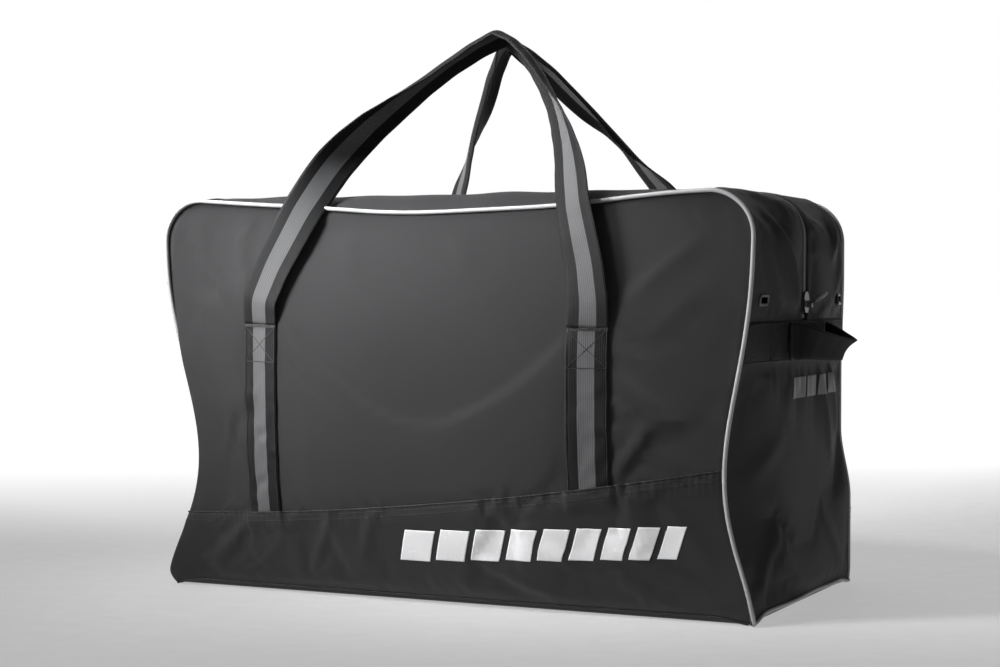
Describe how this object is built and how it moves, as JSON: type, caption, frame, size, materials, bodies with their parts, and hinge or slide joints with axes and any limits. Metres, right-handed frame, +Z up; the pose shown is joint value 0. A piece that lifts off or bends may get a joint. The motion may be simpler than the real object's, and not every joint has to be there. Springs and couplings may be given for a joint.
{
  "type": "hockey equipment bag",
  "caption": "Soft-sided sports equipment bag with zipped top, piped seams, two webbing carrying handles, end grab loops and vents.",
  "frame": {"origin": "on the floor, under the middle of the flat base", "axes": "+X along the bag towards its right end, -Y out of the front panel, +Z up"},
  "size_m": [0.839, 0.4798, 0.6659],
  "materials": {
    "woven_fabric": "satin black plain weave",
    "coated_fabric": "smooth coated black weave",
    "webbing": "ribbed black webbing with a grey centre stripe",
    "piping": "satin light grey",
    "zipper_tape": "matte black",
    "zipper_teeth": "moulded dark grey",
    "slider_metal": "semi-gloss dark grey",
    "grip_rubber": "matte light grey",
    "dark_plastic": "satin dark grey"
  },
  "bodies": {
    "bag": {"bottom_panel": "coated_fabric", "front_base_panel": "coated_fabric", "back_base_panel": "coated_fabric", "front_panel": "woven_fabric", "back_panel": "woven_fabric", "right_end_panel": "woven_fabric", "left_end_panel": "woven_fabric", "right_end_front_gusset": "woven_fabric", "right_end_rear_gusset": "woven_fabric", "left_end_front_gusset": "woven_fabric", "left_end_rear_gusset": "woven_fabric", "front_top_strip": "woven_fabric", "rear_top_strip": "woven_fabric", "front_piping": "piping", "rear_piping": "piping", "right_base_piping": "piping", "left_base_piping": "piping", "front_right_strap": "webbing", "front_left_strap": "webbing", "rear_right_strap": "webbing", "rear_left_strap": "webbing", "right_grab_band": "webbing", "left_grab_band": "webbing", "right_front_vent": "dark_plastic", "right_rear_vent": "dark_plastic", "left_front_vent": "dark_plastic", "left_rear_vent": "dark_plastic", "right_end_zipper_tape": "zipper_tape", "left_end_zipper_tape": "zipper_tape", "right_end_zipper_teeth": "zipper_teeth", "left_end_zipper_teeth": "zipper_teeth", "right_zipper_stop": "dark_plastic", "left_zipper_stop": "dark_plastic"},
    "front_handle": {"front_handle": "webbing"},
    "rear_handle": {"rear_handle": "webbing"},
    "front_flap": {"front_flap": "woven_fabric", "front_zipper_tape": "zipper_tape", "front_zipper_teeth": "zipper_teeth"},
    "rear_flap": {"rear_flap": "woven_fabric", "rear_zipper_tape": "zipper_tape", "rear_zipper_teeth": "zipper_teeth"},
    "slider": {"zipper_slider": "slider_metal"},
    "pull": {"zipper_pull": "slider_metal", "pull_grip": "grip_rubber"},
    "right_loop": {"right_grab_loop": "webbing"},
    "left_loop": {"left_grab_loop": "webbing"}
  },
  "joints": [
    {"name": "front_handle_swing", "type": "hinge", "parent": "bag", "child": "front_handle", "pos_m": [0, -0.229, 0.323], "axis": [1, 0, 0], "range_deg": [0, 150]},
    {"name": "rear_handle_swing", "type": "hinge", "parent": "bag", "child": "rear_handle", "pos_m": [0, 0.229, 0.323], "axis": [-1, 0, 0], "range_deg": [0, 150]},
    {"name": "front_flap_fold", "type": "hinge", "parent": "bag", "child": "front_flap", "pos_m": [0, -0.15, 0.46625], "axis": [1, 0, 0], "range_deg": [-85, 40]},
    {"name": "rear_flap_fold", "type": "hinge", "parent": "bag", "child": "rear_flap", "pos_m": [0, 0.15, 0.46625], "axis": [-1, 0, 0], "range_deg": [-85, 40]},
    {"name": "slider_run", "type": "slide", "parent": "bag", "child": "slider", "axis": [0, 0, 1], "range_m": [0, 0.07]},
    {"name": "pull_flip", "type": "hinge", "parent": "slider", "child": "pull", "pos_m": [0.3778, 0, 0.342], "axis": [0, 1, 0], "range_deg": [-45, 110]},
    {"name": "right_loop_tilt", "type": "hinge", "parent": "bag", "child": "right_loop", "pos_m": [0.3755, 0, 0.3005], "axis": [0, 1, 0], "range_deg": [-22, 22]},
    {"name": "left_loop_tilt", "type": "hinge", "parent": "bag", "child": "left_loop", "pos_m": [-0.3755, 0, 0.3005], "axis": [0, -1, 0], "range_deg": [-22, 22]}
  ]
}
